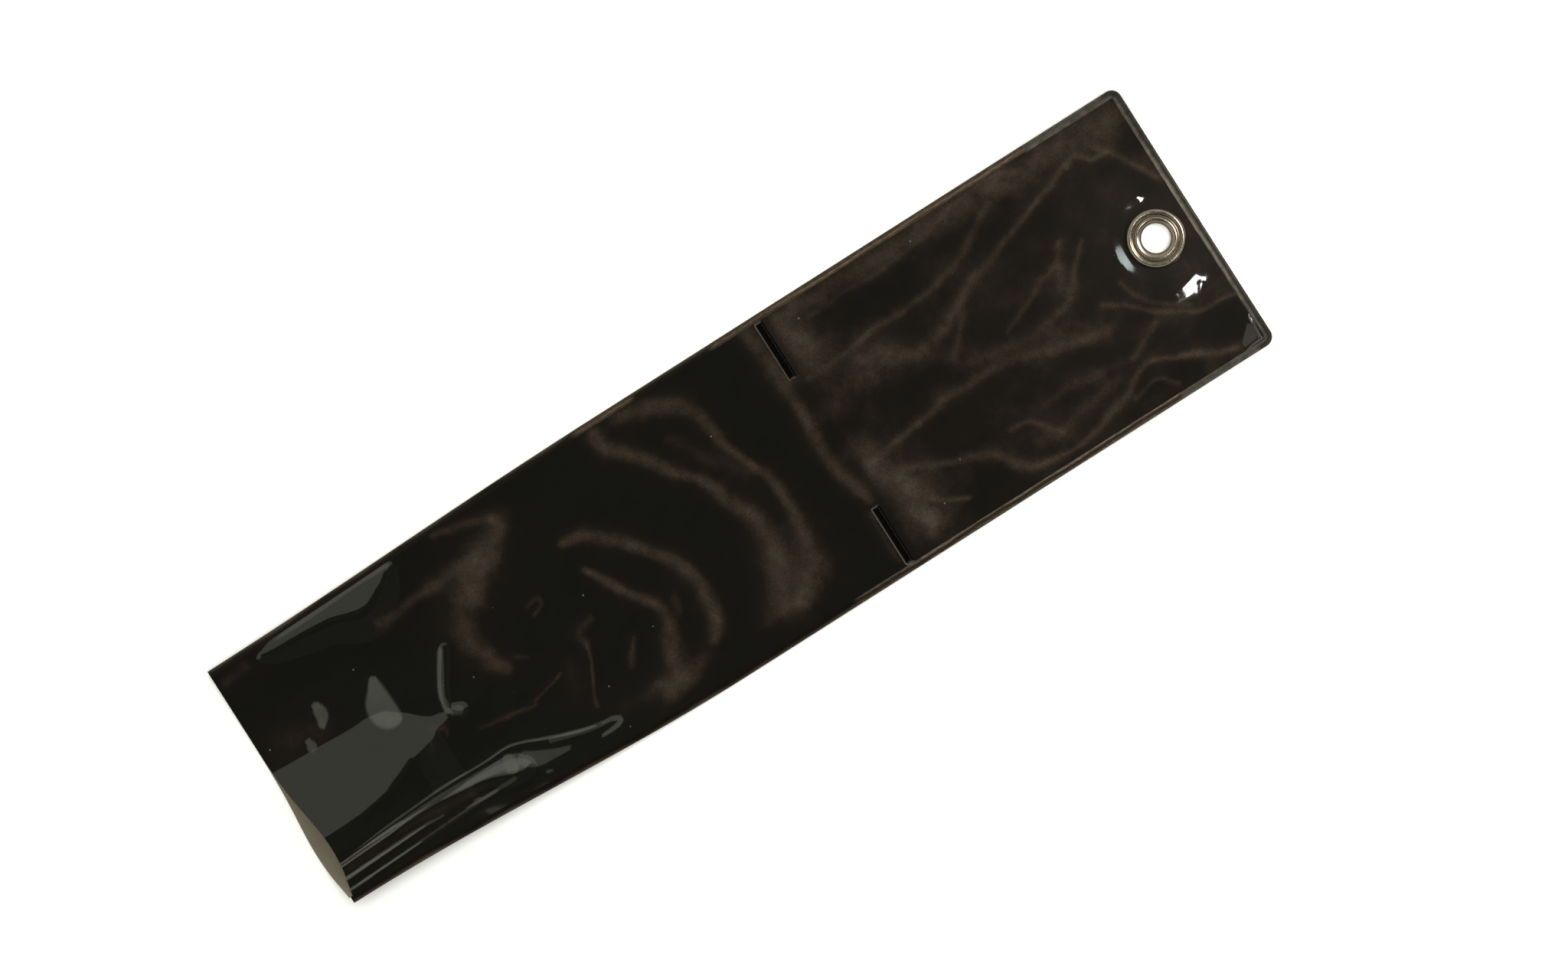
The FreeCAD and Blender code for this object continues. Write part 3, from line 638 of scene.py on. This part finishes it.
class Nodes:
    """Short names for building a node tree, for a new surface material or the world."""

    def __init__(self, owner, shader="BSDF_PRINCIPLED", place="Object"):
        self.owner = owner
        owner.use_nodes = True
        self.tree = owner.node_tree
        self.shader = next(n for n in self.tree.nodes if n.type == shader)
        self.place = self.add("ShaderNodeTexCoord").outputs[place]

    def add(self, kind, **settings):
        node = self.tree.nodes.new(kind)
        for key, value in settings.items():
            setattr(node, key, value)
        return node

    def link(self, source, target):
        self.tree.links.new(source, target)

    def math(self, operation, a, b=0.0):
        node = self.add("ShaderNodeMath", operation=operation)
        for socket, value in zip(node.inputs, (a, b)):
            if isinstance(value, (int, float)):
                socket.default_value = value
            else:
                self.link(value, socket)
        return node.outputs[0]

    def noise(self, scale, detail=2.0, stretch=(1, 1, 1)):
        mapping = self.add("ShaderNodeMapping")
        mapping.inputs["Scale"].default_value = stretch
        self.link(self.place, mapping.inputs["Vector"])
        node = self.add("ShaderNodeTexNoise")
        node.inputs["Scale"].default_value = scale
        node.inputs["Detail"].default_value = detail
        self.link(mapping.outputs[0], node.inputs["Vector"])
        return node.outputs["Fac"]

    def weave(self, pitch):
        """A fine cloth-like grain of this pitch, from -1 to 1."""
        split = self.add("ShaderNodeSeparateXYZ")
        self.link(self.place, split.inputs[0])
        turn = 2 * math.pi / pitch
        across = self.math("SINE", self.math("MULTIPLY", split.outputs[0], turn))
        along = self.math("SINE", self.math("MULTIPLY", split.outputs[1], turn))
        return self.math("MULTIPLY", across, along)

    def spread(self, value, low, high, out_low=0.0, out_high=1.0, kind="LINEAR"):
        """The value carried over from one range to another."""
        node = self.add("ShaderNodeMapRange", interpolation_type=kind)
        for socket, number in zip(node.inputs[1:5], (low, high, out_low, out_high)):
            socket.default_value = number
        self.link(value, node.inputs[0])
        return node.outputs[0]

    def attribute(self, name):
        return self.add("ShaderNodeAttribute", attribute_name=name).outputs["Fac"]

    def mix(self, share, first, second):
        node = self.add("ShaderNodeMix", data_type="RGBA")
        colours = [s for s in node.inputs if s.type == "RGBA"]
        self.link(share, node.inputs[0])
        for socket, colour in zip(colours, (first, second)):
            if isinstance(colour, tuple):
                socket.default_value = (*colour, 1)
            else:
                self.link(colour, socket)
        return next(s for s in node.outputs if s.type == "RGBA")

    def ramp(self, value, stops):
        """Colour along a list of (position, colour) stops."""
        node = self.add("ShaderNodeValToRGB")
        elements = node.color_ramp.elements
        while len(elements) < len(stops):
            elements.new(0.5)
        for element, (spot, colour) in zip(elements, stops):
            element.position, element.color = spot, (*colour, 1)
        self.link(value, node.inputs[0])
        return node.outputs[0]

    def bump(self, height, distance, strength=1.0):
        node = self.add("ShaderNodeBump")
        node.inputs["Strength"].default_value = strength
        node.inputs["Distance"].default_value = distance
        self.link(height, node.inputs["Height"])
        self.link(node.outputs[0], self.shader.inputs["Normal"])

    def set(self, **values):
        """Sets or links the shader's inputs, and gives back the material."""
        for key, value in values.items():
            socket = self.shader.inputs[key.replace("_", " ")]
            if isinstance(value, (int, float)):
                socket.default_value = value
            elif isinstance(value, tuple):
                socket.default_value = (*value, 1)
            else:
                self.link(value, socket)
        return self.owner


def surface(name):
    return Nodes(bpy.data.materials.new(name))


WEAVE_PITCH = 0.00062
DUST = (0.10, 0.095, 0.085)
# Colour of the painted reflection on the outer vinyl.
PAINTED_SHEEN_COLOUR = (0.046, 0.048, 0.041)
GROOVE_DIRT = (0.085, 0.066, 0.042)
# Base colour of the outer face for a haze of 0 to HAZE_TOP.
HAZE_RAMP = ((0.0, (0.0052, 0.0053, 0.0045)), (0.11, (0.0083, 0.0065, 0.0054)),
             (0.35, (0.0222, 0.0158, 0.0114)), (0.58, (0.0335, 0.0245, 0.0182)),
             (0.9, (0.0480, 0.0395, 0.0305)), (1.0, (0.0540, 0.0450, 0.0355)))


def vinyl_outer():
    """Smoked clear vinyl: black where the sheets touch, brown cloth grain where apart, and paler
    where reflection is painted in.
    """
    n = surface("smoked_vinyl")
    haze = n.attribute("haze")
    cloud = n.spread(n.noise(90, 4), 0.3, 0.7, 0.78, 1.22)
    grain = n.math("ADD", 1.0, n.math("MULTIPLY", n.weave(WEAVE_PITCH), 0.34))
    speckle = n.spread(n.noise(1300, 3), 0.3, 0.7, 0.74, 1.26)
    share = n.math("MULTIPLY", n.math("MULTIPLY", haze, cloud),
                   n.math("MULTIPLY", grain, speckle))
    mottle = n.spread(n.noise(420, 3), 0.35, 0.75, 0.0, 0.035)
    share = n.math("ADD", share, mottle)
    body = n.ramp(n.math("DIVIDE", share, HAZE_TOP), HAZE_RAMP)
    dots = n.add("ShaderNodeTexVoronoi", feature="F1")
    dots.inputs["Scale"].default_value = 95
    n.link(n.place, dots.inputs["Vector"])
    dust = n.spread(dots.outputs["Distance"], 0.022, 0.034, 1.0, 0.0)
    # pale is painted reflection: it lightens the base colour towards the painted sheen colour
    pale = n.attribute("pale")
    colour = n.mix(dust, n.mix(pale, body, PAINTED_SHEEN_COLOUR), DUST)
    n.bump(n.math("ADD", n.noise(55, 2), n.math("MULTIPLY", n.noise(300, 2), 0.06)),
           0.0007, 0.3)
    rough = n.spread(n.noise(160, 3), 0.3, 0.7, 0.045, 0.11)
    return n.set(Base_Color=colour, Roughness=rough, IOR=1.52)


def vinyl_inner():
    """Inner face: the same vinyl with a matt cloth-like emboss."""
    n = surface("embossed_inside")
    grain = n.weave(WEAVE_PITCH)
    shade = n.spread(n.noise(40, 3), 0.3, 0.7)
    colour = n.mix(shade, (0.125, 0.105, 0.074), (0.15, 0.127, 0.09))
    n.bump(grain, 0.00006, 0.8)
    return n.set(Base_Color=colour, Roughness=0.55, IOR=1.52)


# Across the side welds, from the torn edge to the sheet: a golden-brown weld whose lighter bead
# bands are a painted highlight.
LEFT_SEAM_LIT = ((0.0, (0.036, 0.026, 0.018)), (0.16, (0.044, 0.031, 0.022)),
             (0.34, (0.046, 0.032, 0.021)), (0.45, (0.078, 0.056, 0.036)),
             (0.56, (0.096, 0.070, 0.045)), (0.67, (0.070, 0.050, 0.032)),
             (0.8, (0.046, 0.032, 0.021)), (1.0, (0.040, 0.028, 0.018)))
RIGHT_SEAM_LIT = ((0.0, (0.030, 0.022, 0.016)), (0.12, (0.066, 0.051, 0.038)),
              (0.3, (0.036, 0.025, 0.016)), (0.5, (0.020, 0.013, 0.007)),
              (0.66, (0.026, 0.018, 0.011)), (0.78, (0.066, 0.050, 0.038)),
              (0.87, (0.096, 0.077, 0.061)), (1.0, (0.084, 0.067, 0.054)))


def seam_vinyl(name, colours):
    """Tear-seal weld: rough outer fringe, dark groove, and a golden-brown bead with a painted
    highlight in places; elsewhere the bead takes the unlit colours.
    """
    n = surface(name)
    place = n.attribute("across")
    # the bead's painted highlight wanders from side to side along the weld
    wander = n.spread(n.noise(35, 2, (1, 0, 0)), 0.35, 0.65, -0.16, 0.16)
    place = n.math("ADD", place, wander)
    gold = n.attribute("gold")
    # the weld's colours with the painted highlight on the bead
    bright = n.ramp(place, colours)
    rub = n.spread(n.noise(900, 3, (0.6, 4, 4)), 0.35, 0.65, 0.5, 1.3)
    scaled = n.add("ShaderNodeVectorMath", operation="SCALE")
    n.link(bright, scaled.inputs[0])
    n.link(rub, scaled.inputs["Scale"])
    # the same weld without the painted highlight: its bead left unlit
    dark = n.ramp(place, ((0.0, (0.050, 0.041, 0.034)), (0.2, (0.024, 0.019, 0.014)),
                          (0.5, (0.0045, 0.0033, 0.0022)), (1.0, (0.005, 0.004, 0.003))))
    colour = n.mix(gold, dark, scaled.outputs[0])
    n.bump(n.noise(1800, 3), 0.00012, 0.5)
    n.shader.inputs["Specular IOR Level"].default_value = 0.07
    rough = n.spread(n.noise(400, 2), 0.3, 0.7, 0.3, 0.5)
    return n.set(Base_Color=colour, Roughness=rough, IOR=1.52)


def end_vinyl():
    """Pressed weld: pale matt band inside a darker bead."""
    n = surface("end_weld")
    place = n.attribute("across")
    band = n.spread(place, 0.52, 0.70)
    streak = n.spread(n.noise(420, 4), 0.3, 0.7)
    bead = n.mix(streak, (0.0135, 0.0112, 0.0086), (0.0275, 0.0232, 0.0180))
    pale = n.mix(streak, (0.031, 0.0262, 0.0212), (0.072, 0.0625, 0.0515))
    pressed = n.mix(band, bead, pale)
    colour = n.mix(n.spread(place, 0.95, 1.0), pressed, (0.014, 0.011, 0.0085))
    n.bump(n.noise(900, 4), 0.0002, 0.6)
    n.shader.inputs["Specular IOR Level"].default_value = 0.08
    rough = n.spread(streak, 0.0, 1.0, 0.3, 0.5)
    return n.set(Base_Color=colour, Roughness=rough, IOR=1.52)


def stop_vinyl():
    """Stop weld: very dark pressed groove with a glossy rim; the rim's lighter colour is a
    painted highlight, and its far side is painted dark as shade.
    """
    n = surface("stop_weld")
    place = n.attribute("across")
    # lighter rim colour: painted highlight; the groove is near black
    colour = n.mix(n.spread(place, 0.45, 0.62), (0.062, 0.056, 0.047), (0.0016, 0.0014, 0.0012))
    n.bump(n.noise(900, 3), 0.00008, 0.4)
    rough = n.spread(n.noise(500, 2), 0.3, 0.7, 0.1, 0.2)
    return n.set(Base_Color=colour, Roughness=rough, IOR=1.52)


def nickel(name, tint):
    """Satin nickel plate with light tarnish, and dirt in its groove."""
    n = surface(name)
    tarnish = n.spread(n.noise(240, 4), 0.35, 0.7)
    plate = n.mix(tarnish, tint, tuple(0.8 * c for c in tint[:2]) + (0.7 * tint[2],))
    dirt = n.attribute("dirt")
    colour = n.mix(dirt, plate, GROOVE_DIRT)
    n.bump(n.noise(1500, 3), 0.00005, 0.5)
    rough = n.spread(n.noise(350, 3), 0.3, 0.7, 0.2, 0.3)
    return n.set(Base_Color=colour, Roughness=rough, Metallic=1.0)


OUTER = vinyl_outer()
INNER = vinyl_inner()
LEFT_WELD = seam_vinyl("left_side_weld", LEFT_SEAM_LIT)
RIGHT_WELD = seam_vinyl("right_side_weld", RIGHT_SEAM_LIT)
END = end_vinyl()
STOP = stop_vinyl()
EYELET = nickel("nickel_eyelet", (0.22, 0.19, 0.172))
WASHER = nickel("nickel_washer", (0.24, 0.21, 0.195))


# ---- sheets -------------------------------------------------------------------------

def make_front_sheet():
    x, y, quads = sheet_grid(FINE_STEP, CREASE_STEP, LIP_SCOOP)
    bottom = base_height(x, y) + SHEET_THICK + gap_between(x, y)
    return closed_sheet("front_sheet", x, y, bottom, quads, "bottom", haze_at(x, y),
                        painted_sheen_at(x, y))


def make_back_sheet():
    x, y, quads = sheet_grid(COARSE_STEP, COARSE_STEP, -BACK_BULGE)
    return closed_sheet("back_sheet", x, y, base_height(x, y), quads, "top",
                        haze_at(x, y), np.zeros(len(x)))


front_sheet = make_front_sheet()
back_sheet = make_back_sheet()

# ---- welds --------------------------------------------------------------------------

# Side weld: distance from the outer edge as a share of its width, then its height as a
# share of the stack in the tail and in the pocket.
SIDE_TOP = ((0.0, 0.42, 0.42), (0.05, 0.55, 0.5), (0.2, 0.62, 0.56), (0.34, 0.6, 0.6),
            (0.42, 0.42, 0.62), (0.48, 0.47, 0.66), (0.55, 0.8, 0.72), (0.64, 0.96, 0.8),
            (0.74, 1.0, 0.86), (0.84, 0.94, 0.92), (0.9, 0.9, 0.96), (1.0, 0.98, 0.99))
SIDE_BOTTOM = ((1.0, 0.0, 0.0), (0.5, 0.0, 0.0), (0.06, 0.05, 0.05))

# Where the weld's bead keeps its painted highlight in the pocket, as (from, to); 1 is the left
# side.
PAINTED_HIGHLIGHT_RUNS = {1: ((-33, -14), (22, 40)), -1: ((18, 40),)}


def make_side_weld(name, side, material):
    """Weld along one edge, from the mouth to the end weld's leg; side is 1 for left."""
    xs = grid_lines(MOUTH_X, LEG_X + 0.4, 1.4, list(np.linspace(FOLD_FROM, FOLD_TO, 9)))
    edge = left_edge(xs) if side > 0 else right_edge(xs)
    inner = edge - side * SEAM_WIDTH
    base = base_height(xs, inner)
    centres = np.stack([xs, edge, base], 1)
    inwards = np.tile([0.0, -side, 0.0], (len(xs), 1))
    outline = SIDE_TOP + SIDE_BOTTOM
    in_tail = smooth(xs, FOLD_FROM - 1, FOLD_TO)

    def section(step):
        return [(a * SEAM_WIDTH, (pocket + (tail - pocket) * in_tail[step]) * STACK)
                for a, tail, pocket in outline]
    # the bead's highlight is painted on all along the tail and on these runs in the pocket
    gold = in_tail
    for start, end in PAINTED_HIGHLIGHT_RUNS[side]:
        gold = np.maximum(gold, 0.7 * smooth(xs, start - 4, start) * smooth(xs, end + 4, end))
    across = np.tile([a for a, *_ in outline], len(xs))
    walls = (len(SIDE_TOP) - 1, len(outline) - 1)
    return swept(name, centres, inwards, section, walls, [material], across=across,
                 gold=np.repeat(gold, len(outline)))


def u_path(radius=3.6, turn_steps=12):
    """Outer line of the end weld and the direction inwards, leg to leg."""
    legs = grid_lines(LEG_X, CLOSED_X - radius, 1.2)
    end = grid_lines(-(HALF_WIDTH - radius), HALF_WIDTH - radius, 0.8)
    points, inwards = [], []

    def straight(spots, inward):
        points.extend(spots)
        inwards.extend([inward] * len(spots))

    def corner(side, first, last):
        centre = np.array([CLOSED_X - radius, side * (HALF_WIDTH - radius)])
        for angle in np.radians(np.linspace(first, last, turn_steps)[1:-1]):
            out = np.array([math.cos(angle), math.sin(angle)])
            points.append(tuple(centre + radius * out))
            inwards.append(tuple(-out))
    straight([(x, -HALF_WIDTH) for x in legs], (0, 1))
    corner(-1, -90, 0)
    straight([(CLOSED_X, y) for y in end], (-1, 0))
    corner(1, 0, 90)
    straight([(x, HALF_WIDTH) for x in reversed(legs)], (0, -1))
    return np.array(points), np.array(inwards, float)


# End weld: distance from the outer edge and height above its underside.
END_TOP = ((0.0, 0.35), (0.1, 0.75), (0.35, 1.08), (0.65, 1.2), (0.95, 1.08), (1.12, 0.8),
           (1.3, 0.7), (2.0, 0.72), (2.7, 0.74), (2.9, 0.85), (3.0, 0.98))
END_BOTTOM = ((3.0, 0.0), (1.5, 0.0), (0.1, 0.05))


def make_end_weld(material):
    points, inwards = u_path()
    centres = np.column_stack([points, base_height(points[:, 0], points[:, 1])])
    inwards = np.column_stack([inwards, np.zeros(len(points))])
    profile = END_TOP + END_BOTTOM

    def section(step):
        """The inner edge was pushed in beside the grommet when the weld was pressed."""
        x, y = points[step]
        push = 0.7 * math.exp(-((y - 1) / 4) ** 2) + 0.25 * math.sin(y / 2.3) ** 2
        push *= float(x > CLOSED_X - 0.01) * float(abs(y) < HALF_WIDTH - 8)
        return [(a + push * smooth(np.array(a), 1.3, 3.0), b) for a, b in profile]
    # The pressed band is narrower in the right half of the closed end, and covers the legs.
    narrower = 0.14 * smooth(points[:, 1], -2, -12) * (points[:, 0] > CLOSED_X - 0.01)
    depth = np.array([a / END_WIDTH for a, b in profile])
    on_leg = smooth(CLOSED_X - points[:, 0], 3, 7)
    across = (depth + np.outer(narrower, smooth(depth, 0.4, 0.9))
              + np.outer(on_leg, np.maximum(depth, 0.66) - depth)).ravel()
    walls = (len(END_TOP) - 1, len(profile) - 1)
    return swept("end_weld", centres, inwards, section, walls, [material], across=across)


def make_stop_weld(name, node, material):
    """Pressed groove with a rim on its mouth side, from rings inside one another.

    Each ring is its inset and its height on the mouth side and on the far side.
    """
    low, high = node_box(node)
    middle, half = (low + high) / 2, (high - low) / 2
    rings = ((0.0, 0.0, 0.0), (0.0, 0.8, 0.85), (0.12, 1.02, 0.9), (0.3, 1.2, 0.95),
             (0.5, 1.16, 0.98), (0.68, 0.8, 1.0), (0.81, 0.42, 1.0), (0.86, 0.35, 0.35),
             (1.1, 0.3, 0.3))
    corner, count = 0.9, 12
    points, across = [], []
    for inset, mouth_height, far_height in rings:
        radius = max(corner - inset, 0.15)
        for quarter in range(4):
            sx, sy = ((1, 1), (-1, 1), (-1, -1), (1, -1))[quarter]
            for a in np.linspace(0, 90, count):
                angle = math.radians(a + 90 * quarter)
                far = min(max(0.5 + 1.5 * math.cos(angle), 0), 1)
                height = mouth_height + (far_height - mouth_height) * far
                points.append((middle[0] + sx * (half[0] - inset - radius)
                               + radius * math.cos(angle),
                               middle[1] + sy * (half[1] - inset - radius)
                               + radius * math.sin(angle), low[2] + height))
                # across is raised on the far side so that side takes the groove's near black:
                # painted shade, and the lighter rim on the mouth side is a painted highlight
                across.append(inset + 0.35 * far)
    faces = ring_faces(len(rings), 4 * count)
    return new_mesh(name, points, faces, [material], flat=np.ones(len(faces), bool),
                    across=across)


left_weld = make_side_weld("left_side_weld", 1, LEFT_WELD)
right_weld = make_side_weld("right_side_weld", -1, RIGHT_WELD)
end_weld = make_end_weld(END)
left_stop = make_stop_weld("left_stop_weld", "stop_weld_left", STOP)
right_stop = make_stop_weld("right_stop_weld", "stop_weld_right", STOP)

# ---- grommet ------------------------------------------------------------------------

# Outlines of the two rings, as (radius, height).
EYELET_LINE = ((4.9, 0.3), (4.9, 1.4), (4.94, 2.3), (5.15, 2.85), (5.6, 3.3), (6.15, 3.65),
               (6.7, 3.82), (7.15, 3.66), (7.5, 3.28), (7.9, 3.02), (8.3, 3.14), (8.75, 3.42),
               (9.25, 3.45), (9.75, 3.08), (10.08, 2.45), (10.0, 2.0), (9.2, 1.9), (7.4, 1.96),
               (5.7, 1.9), (5.62, 0.7), (6.2, 0.5), (6.9, 0.42), (7.05, 0.2), (6.4, 0.06),
               (5.3, 0.06))
WASHER_LINE = ((7.15, 0.25), (7.5, 0.05), (8.5, 0.0), (9.4, 0.08), (10.0, 0.4), (10.1, 0.85),
               (9.6, 1.0), (7.5, 1.0), (5.75, 0.98), (5.72, 0.6), (6.4, 0.52), (7.0, 0.45))

GROOVE_RADIUS = 8.05      # of the groove between the rolled lip and the flange


def make_ring(name, line, samples, material):
    """A turned ring whose upper groove holds dirt."""
    outline = rounded(line, samples)
    in_groove = np.exp(-((outline[:, 0] - GROOVE_RADIUS) / 0.6) ** 2) * (outline[:, 1] > 2.4)
    in_bore = 0.65 * smooth(-outline[:, 0], -6.1, -5.5) * (outline[:, 1] < 3.5)
    return lathe(name, outline, GROMMET, material, dirt=np.maximum(in_groove, in_bore))


eyelet = make_ring("grommet_eyelet_ring", EYELET_LINE, 5, EYELET)
washer = make_ring("grommet_back_washer", WASHER_LINE, 4, WASHER)

# ---- frame and bodies ---------------------------------------------------------------

ACROSS_FOLD = (
    (front_sheet, "front_vinyl", ("pocket_front_sheet", "tail_front_sheet")),
    (back_sheet, "back_vinyl", ("pocket_back_sheet", "tail_back_sheet")),
    (left_weld, "side_weld", ("pocket_left_seam", "tail_left_seam")),
    (right_weld, "side_weld", ("pocket_right_seam", "tail_right_seam")),
)
ON_ONE_BODY = (
    (left_stop, "pocket", "stop_weld", "stop_weld_left"),
    (right_stop, "pocket", "stop_weld", "stop_weld_right"),
    (end_weld, "tail", "end_weld", "end_seam"),
    (eyelet, "tail", "eyelet_nickel", "grommet_eyelet"),
    (washer, "tail", "washer_nickel", "grommet_washer"),
)
for piece, slot, nodes in ACROSS_FOLD:
    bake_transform(piece)
    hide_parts(*nodes)
for piece, body, slot, node in ON_ONE_BODY:
    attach(piece, body)
    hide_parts(node)

# ---- floor, light and camera --------------------------------------------------------

FLOOR_DROP = 0.05
FLOOR_SIDE = 4000.0
FRAME_SPAN = 1.4518      # width of the view, in sleeve lengths
VIEW_TURN = 32.44        # how far the sleeve is turned in the view, degrees
AIM = (14.95, -4.37)     # middle of the view
CAMERA_HEIGHT = 1500.0
WINDOW_SPREAD = 40.0     # degrees; keeps a window's light to the closed end


def make_floor():
    half, level = FLOOR_SIDE / 2, CAD_LOW.z / MM - FLOOR_DROP
    n = surface("white_floor")
    shade = n.spread(n.noise(3, 2), 0.3, 0.7)
    colour = n.mix(shade, (0.90, 0.90, 0.90), (0.92, 0.92, 0.92))
    n.set(Base_Color=colour, Roughness=0.9)
    n.shader.inputs["Specular IOR Level"].default_value = 0.0
    floor = new_mesh("floor", [(-half, -half, level), (half, -half, level),
                               (half, half, level), (-half, half, level)],
                     [(0, 1, 2, 3)], [n.owner])


def make_world():
    """A pale studio tent: dark straight above the table, and low on the right-hand side."""
    world = bpy.data.worlds.new("studio_tent")
    bpy.context.scene.world = world
    n = Nodes(world, "BACKGROUND", "Generated")
    split = n.add("ShaderNodeSeparateXYZ")
    n.link(n.place, split.inputs[0])
    up = split.outputs["Z"]
    leftness = n.math("ADD", n.math("MULTIPLY", split.outputs["Y"], 0.91),
                      n.math("MULTIPLY", split.outputs["X"], -0.42))
    on_left = n.spread(leftness, -0.03, 0.03, kind="SMOOTHSTEP")
    left = n.spread(up, 0.68, 0.75, 1.25, 0.72, "SMOOTHSTEP")
    right = n.spread(up, 0.46, 0.54, 1.25, 0.06, "SMOOTHSTEP")
    wall = n.math("ADD", right, n.math("MULTIPLY", on_left, n.math("SUBTRACT", left, right)))
    overhead = n.spread(up, 0.908, 0.918, 1.0, 0.04, "SMOOTHSTEP")
    n.set(Color=(0.98, 1.0, 0.82), Strength=n.math("MULTIPLY", wall, overhead))


def make_fill():
    """A wide soft light from above that leaves no reflection."""
    lamp = bpy.data.lights.new("fill", "SUN")
    lamp.energy, lamp.angle = 2.3, math.radians(100)
    new_object("fill", lamp).visible_glossy = False


def make_window(name, aim, zenith, azimuth, distance, size, glow, colour):
    """A bright panel above the closed end; zenith, azimuth and distance are from aim."""
    lamp = bpy.data.lights.new(name, "AREA")
    lamp.shape = "RECTANGLE"
    lamp.size, lamp.size_y = size[0] * MM, size[1] * MM
    lamp.energy = glow * math.pi * lamp.size * lamp.size_y
    lamp.spread = math.radians(WINDOW_SPREAD)
    lamp.color = colour
    tilt, turn = math.radians(zenith), math.radians(azimuth)
    away = distance * np.array([math.sin(tilt) * math.cos(turn),
                                math.sin(tilt) * math.sin(turn), math.cos(tilt)])
    made = new_object(name, lamp)
    made.location = (np.array([*aim, 0.0]) + away) * MM
    made.rotation_euler = (0, tilt, turn)


def make_camera():
    camera = bpy.data.cameras.new("camera")
    camera.type = "ORTHO"
    camera.ortho_scale = FRAME_SPAN * (CLOSED_X - MOUTH_X) * MM
    camera.clip_end = 10
    made = new_object("camera", camera)
    made.location = (AIM[0] * MM, AIM[1] * MM, CAMERA_HEIGHT * MM)
    made.rotation_euler = (0, 0, -math.radians(VIEW_TURN))
    bpy.context.scene.camera = made


make_floor()
make_world()
make_fill()
make_window("window", (GROMMET[0] - 12, GROMMET[1]), 27, 4, 340, (42, 170), 0.46,
            (0.85, 1.0, 1.0))
make_window("lamp", (GROMMET[0] + 4, GROMMET[1] - 20), 17, -75, 340, (50, 46), 2.3,
            (1.0, 0.98, 0.97))
make_window("rim_light", (GROMMET[0], GROMMET[1]), 46, -6, 75, (30, 52), 2.0,
            (1.0, 0.96, 0.86))
make_camera()
bpy.context.scene.view_settings.view_transform = "Standard"
